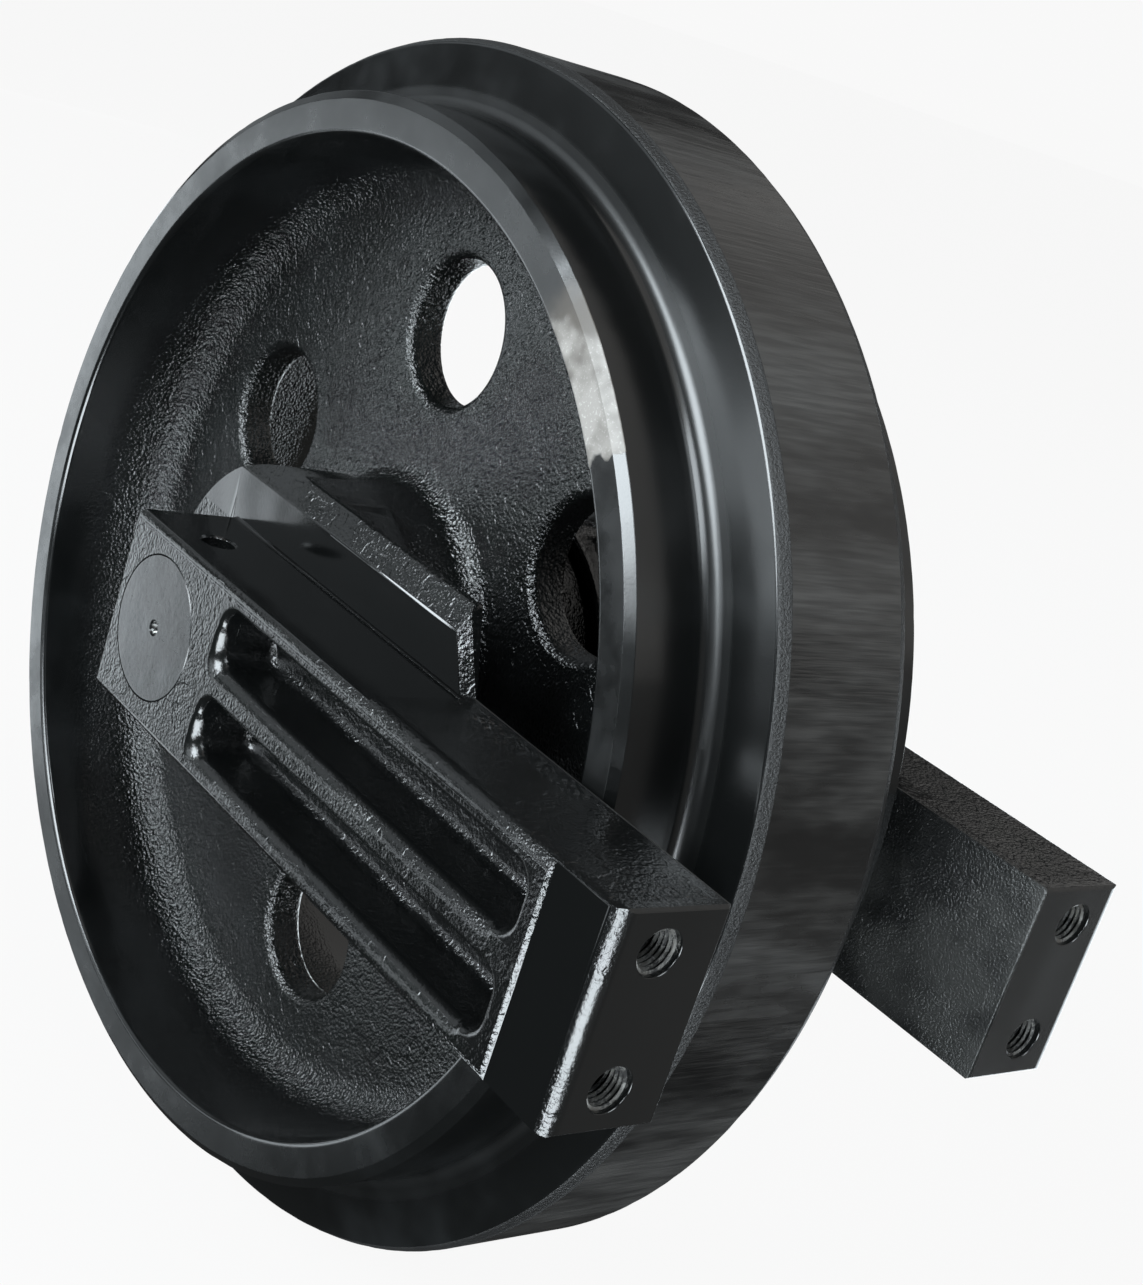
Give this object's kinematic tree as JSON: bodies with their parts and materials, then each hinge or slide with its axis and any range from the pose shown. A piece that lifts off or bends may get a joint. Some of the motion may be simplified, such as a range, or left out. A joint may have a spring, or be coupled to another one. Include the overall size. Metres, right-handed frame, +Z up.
{
  "type": "track idler",
  "caption": "Flanged guide wheel for a crawler track, turning on a fixed shaft held between two slotted cast arms with tapped end faces.",
  "frame": {"origin": "centre of the wheel on the shaft axis", "axes": "+Y along the shaft from the left bracket to the right one, +X from the shaft along the arms to their tapped end faces, +Z up"},
  "size_m": [0.6439, 0.3, 0.6],
  "materials": {
    "wheel_casting": "semi-gloss black paint over a cast surface, machined rim, treads and flange",
    "bracket_casting": "semi-gloss black paint over a grainy cast surface, milled guide faces",
    "shaft_steel": "ground steel, its ends painted over with the brackets",
    "bush_bronze": "turned bronze",
    "seal_metal": "lapped hard iron",
    "seal_rubber": "matt black rubber",
    "pin_steel": "oiled hardened steel",
    "plug_steel": "steel painted over with the shaft end"
  },
  "bodies": {
    "carrier": {"bracket_left": "bracket_casting", "bracket_right": "bracket_casting", "shaft": "shaft_steel", "seal_ring_left_outer": "seal_metal", "seal_ring_right_outer": "seal_metal", "toric_left_outer": "seal_rubber", "toric_right_outer": "seal_rubber", "shaft_o_ring_left": "seal_rubber", "shaft_o_ring_right": "seal_rubber", "lock_pin_left": "pin_steel", "lock_pin_right": "pin_steel", "oil_plug": "plug_steel", "oil_plug_o_ring": "seal_rubber"},
    "wheel": {"idler_wheel": "wheel_casting", "bush_left": "bush_bronze", "bush_right": "bush_bronze", "seal_ring_left_inner": "seal_metal", "seal_ring_right_inner": "seal_metal", "toric_left_inner": "seal_rubber", "toric_right_inner": "seal_rubber"}
  },
  "joints": [
    {"name": "wheel_spin", "type": "hinge", "parent": "carrier", "child": "wheel", "pos_m": [0, 0, 0], "axis": [0, 1, 0], "continuous": true}
  ]
}
